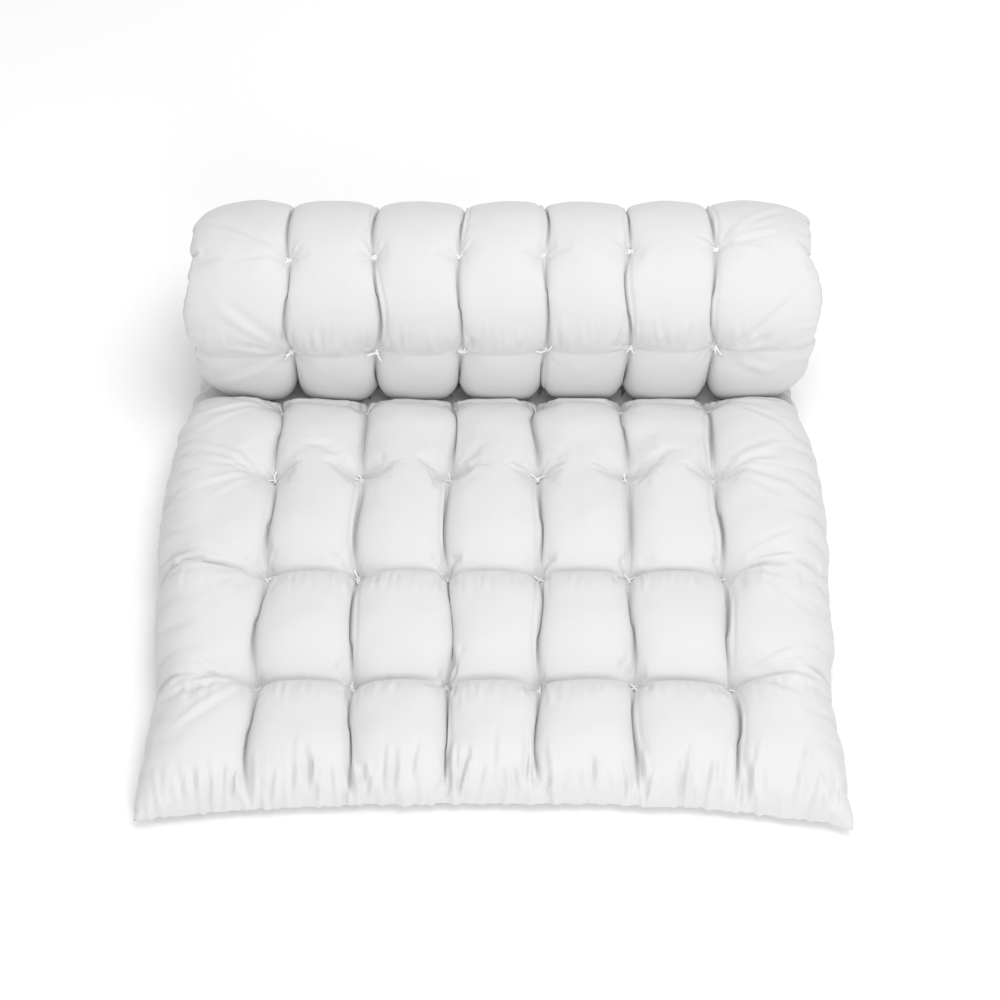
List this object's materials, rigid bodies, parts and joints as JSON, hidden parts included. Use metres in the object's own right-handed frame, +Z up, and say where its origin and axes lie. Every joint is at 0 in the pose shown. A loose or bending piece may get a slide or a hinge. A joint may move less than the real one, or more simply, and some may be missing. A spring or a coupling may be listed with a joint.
{
  "type": "futon mattress",
  "caption": "Tufted cotton futon mattress for floor sleeping, lying flat at the near end and rolled up at the far end.",
  "frame": {"origin": "on the floor, under the middle of the partly rolled mattress's bounding box", "axes": "+X across the mattress, +Y along it from the near edge to the roll, +Z up"},
  "size_m": [1.215, 1.2442, 0.3561],
  "materials": {
    "casing_cotton": "smooth white cotton with a soft sheen",
    "cotton_felt": "matt carded cotton wadding",
    "tie_twine": "twisted white cotton twine"
  },
  "bodies": {
    "flat_part": {"flat_casing_floor_panel": "casing_cotton", "flat_casing_lying_panel": "casing_cotton", "flat_felt_floor_layer": "cotton_felt", "flat_felt_core_layer": "cotton_felt", "flat_felt_lying_layer": "cotton_felt", "tuft_tie_a1": "tie_twine", "tuft_tie_a2": "tie_twine", "tuft_tie_a3": "tie_twine", "tuft_tie_a4": "tie_twine", "tuft_tie_a5": "tie_twine", "tuft_tie_a6": "tie_twine", "tuft_tie_b1": "tie_twine", "tuft_tie_b2": "tie_twine", "tuft_tie_b3": "tie_twine", "tuft_tie_b4": "tie_twine", "tuft_tie_b5": "tie_twine", "tuft_tie_b6": "tie_twine", "tuft_tie_c1": "tie_twine", "tuft_tie_c2": "tie_twine", "tuft_tie_c3": "tie_twine", "tuft_tie_c4": "tie_twine", "tuft_tie_c5": "tie_twine", "tuft_tie_c6": "tie_twine", "tuft_tie_d1": "tie_twine", "tuft_tie_d2": "tie_twine", "tuft_tie_d3": "tie_twine", "tuft_tie_d4": "tie_twine", "tuft_tie_d5": "tie_twine", "tuft_tie_d6": "tie_twine", "tuft_row_i": "tie_twine", "tuft_row_h": "tie_twine", "under_roll_casing_outer": "casing_cotton", "under_roll_casing_inner": "casing_cotton", "under_roll_felt_outer": "cotton_felt", "under_roll_felt_core": "cotton_felt", "under_roll_felt_inner": "cotton_felt"},
    "roll_back": {"tuft_row_g": "tie_twine", "roll_back_casing_outer": "casing_cotton", "roll_back_casing_inner": "casing_cotton", "roll_back_felt_outer": "cotton_felt", "roll_back_felt_core": "cotton_felt", "roll_back_felt_inner": "cotton_felt"},
    "roll_top": {"tuft_row_f": "tie_twine", "roll_top_casing_outer": "casing_cotton", "roll_top_casing_inner": "casing_cotton", "roll_top_felt_outer": "cotton_felt", "roll_top_felt_core": "cotton_felt", "roll_top_felt_inner": "cotton_felt"},
    "roll_front": {"tuft_row_e": "tie_twine", "roll_front_casing_outer": "casing_cotton", "roll_front_casing_inner": "casing_cotton", "roll_front_felt_outer": "cotton_felt", "roll_front_felt_core": "cotton_felt", "roll_front_felt_inner": "cotton_felt"},
    "roll_end": {"roll_end_casing_outer": "casing_cotton", "roll_end_casing_inner": "casing_cotton", "roll_end_felt_outer": "cotton_felt", "roll_end_felt_core": "cotton_felt", "roll_end_felt_inner": "cotton_felt"}
  },
  "joints": [
    {"name": "unroll_back", "type": "hinge", "parent": "flat_part", "child": "roll_back", "pos_m": [0, 0.54529, 0.07327], "axis": [-1, 0, 0], "range_deg": [0, 81.8]},
    {"name": "unroll_top", "type": "hinge", "parent": "roll_back", "child": "roll_top", "pos_m": [0, 0.57515, 0.2576], "axis": [-1, 0, 0], "range_deg": [0, 75]},
    {"name": "unroll_front", "type": "hinge", "parent": "roll_top", "child": "roll_front", "pos_m": [0, 0.41563, 0.32996], "axis": [-1, 0, 0], "range_deg": [0, 72.2]},
    {"name": "unroll_end", "type": "hinge", "parent": "roll_front", "child": "roll_end", "pos_m": [0, 0.29752, 0.20061], "axis": [-1, 0, 0], "range_deg": [0, 80.7]}
  ],
  "couplings": [
    {"joint": "unroll_top", "follows": "unroll_back", "ratio": 0.9144},
    {"joint": "unroll_front", "follows": "unroll_back", "ratio": 0.8802},
    {"joint": "unroll_end", "follows": "unroll_back", "ratio": 0.9841}
  ]
}
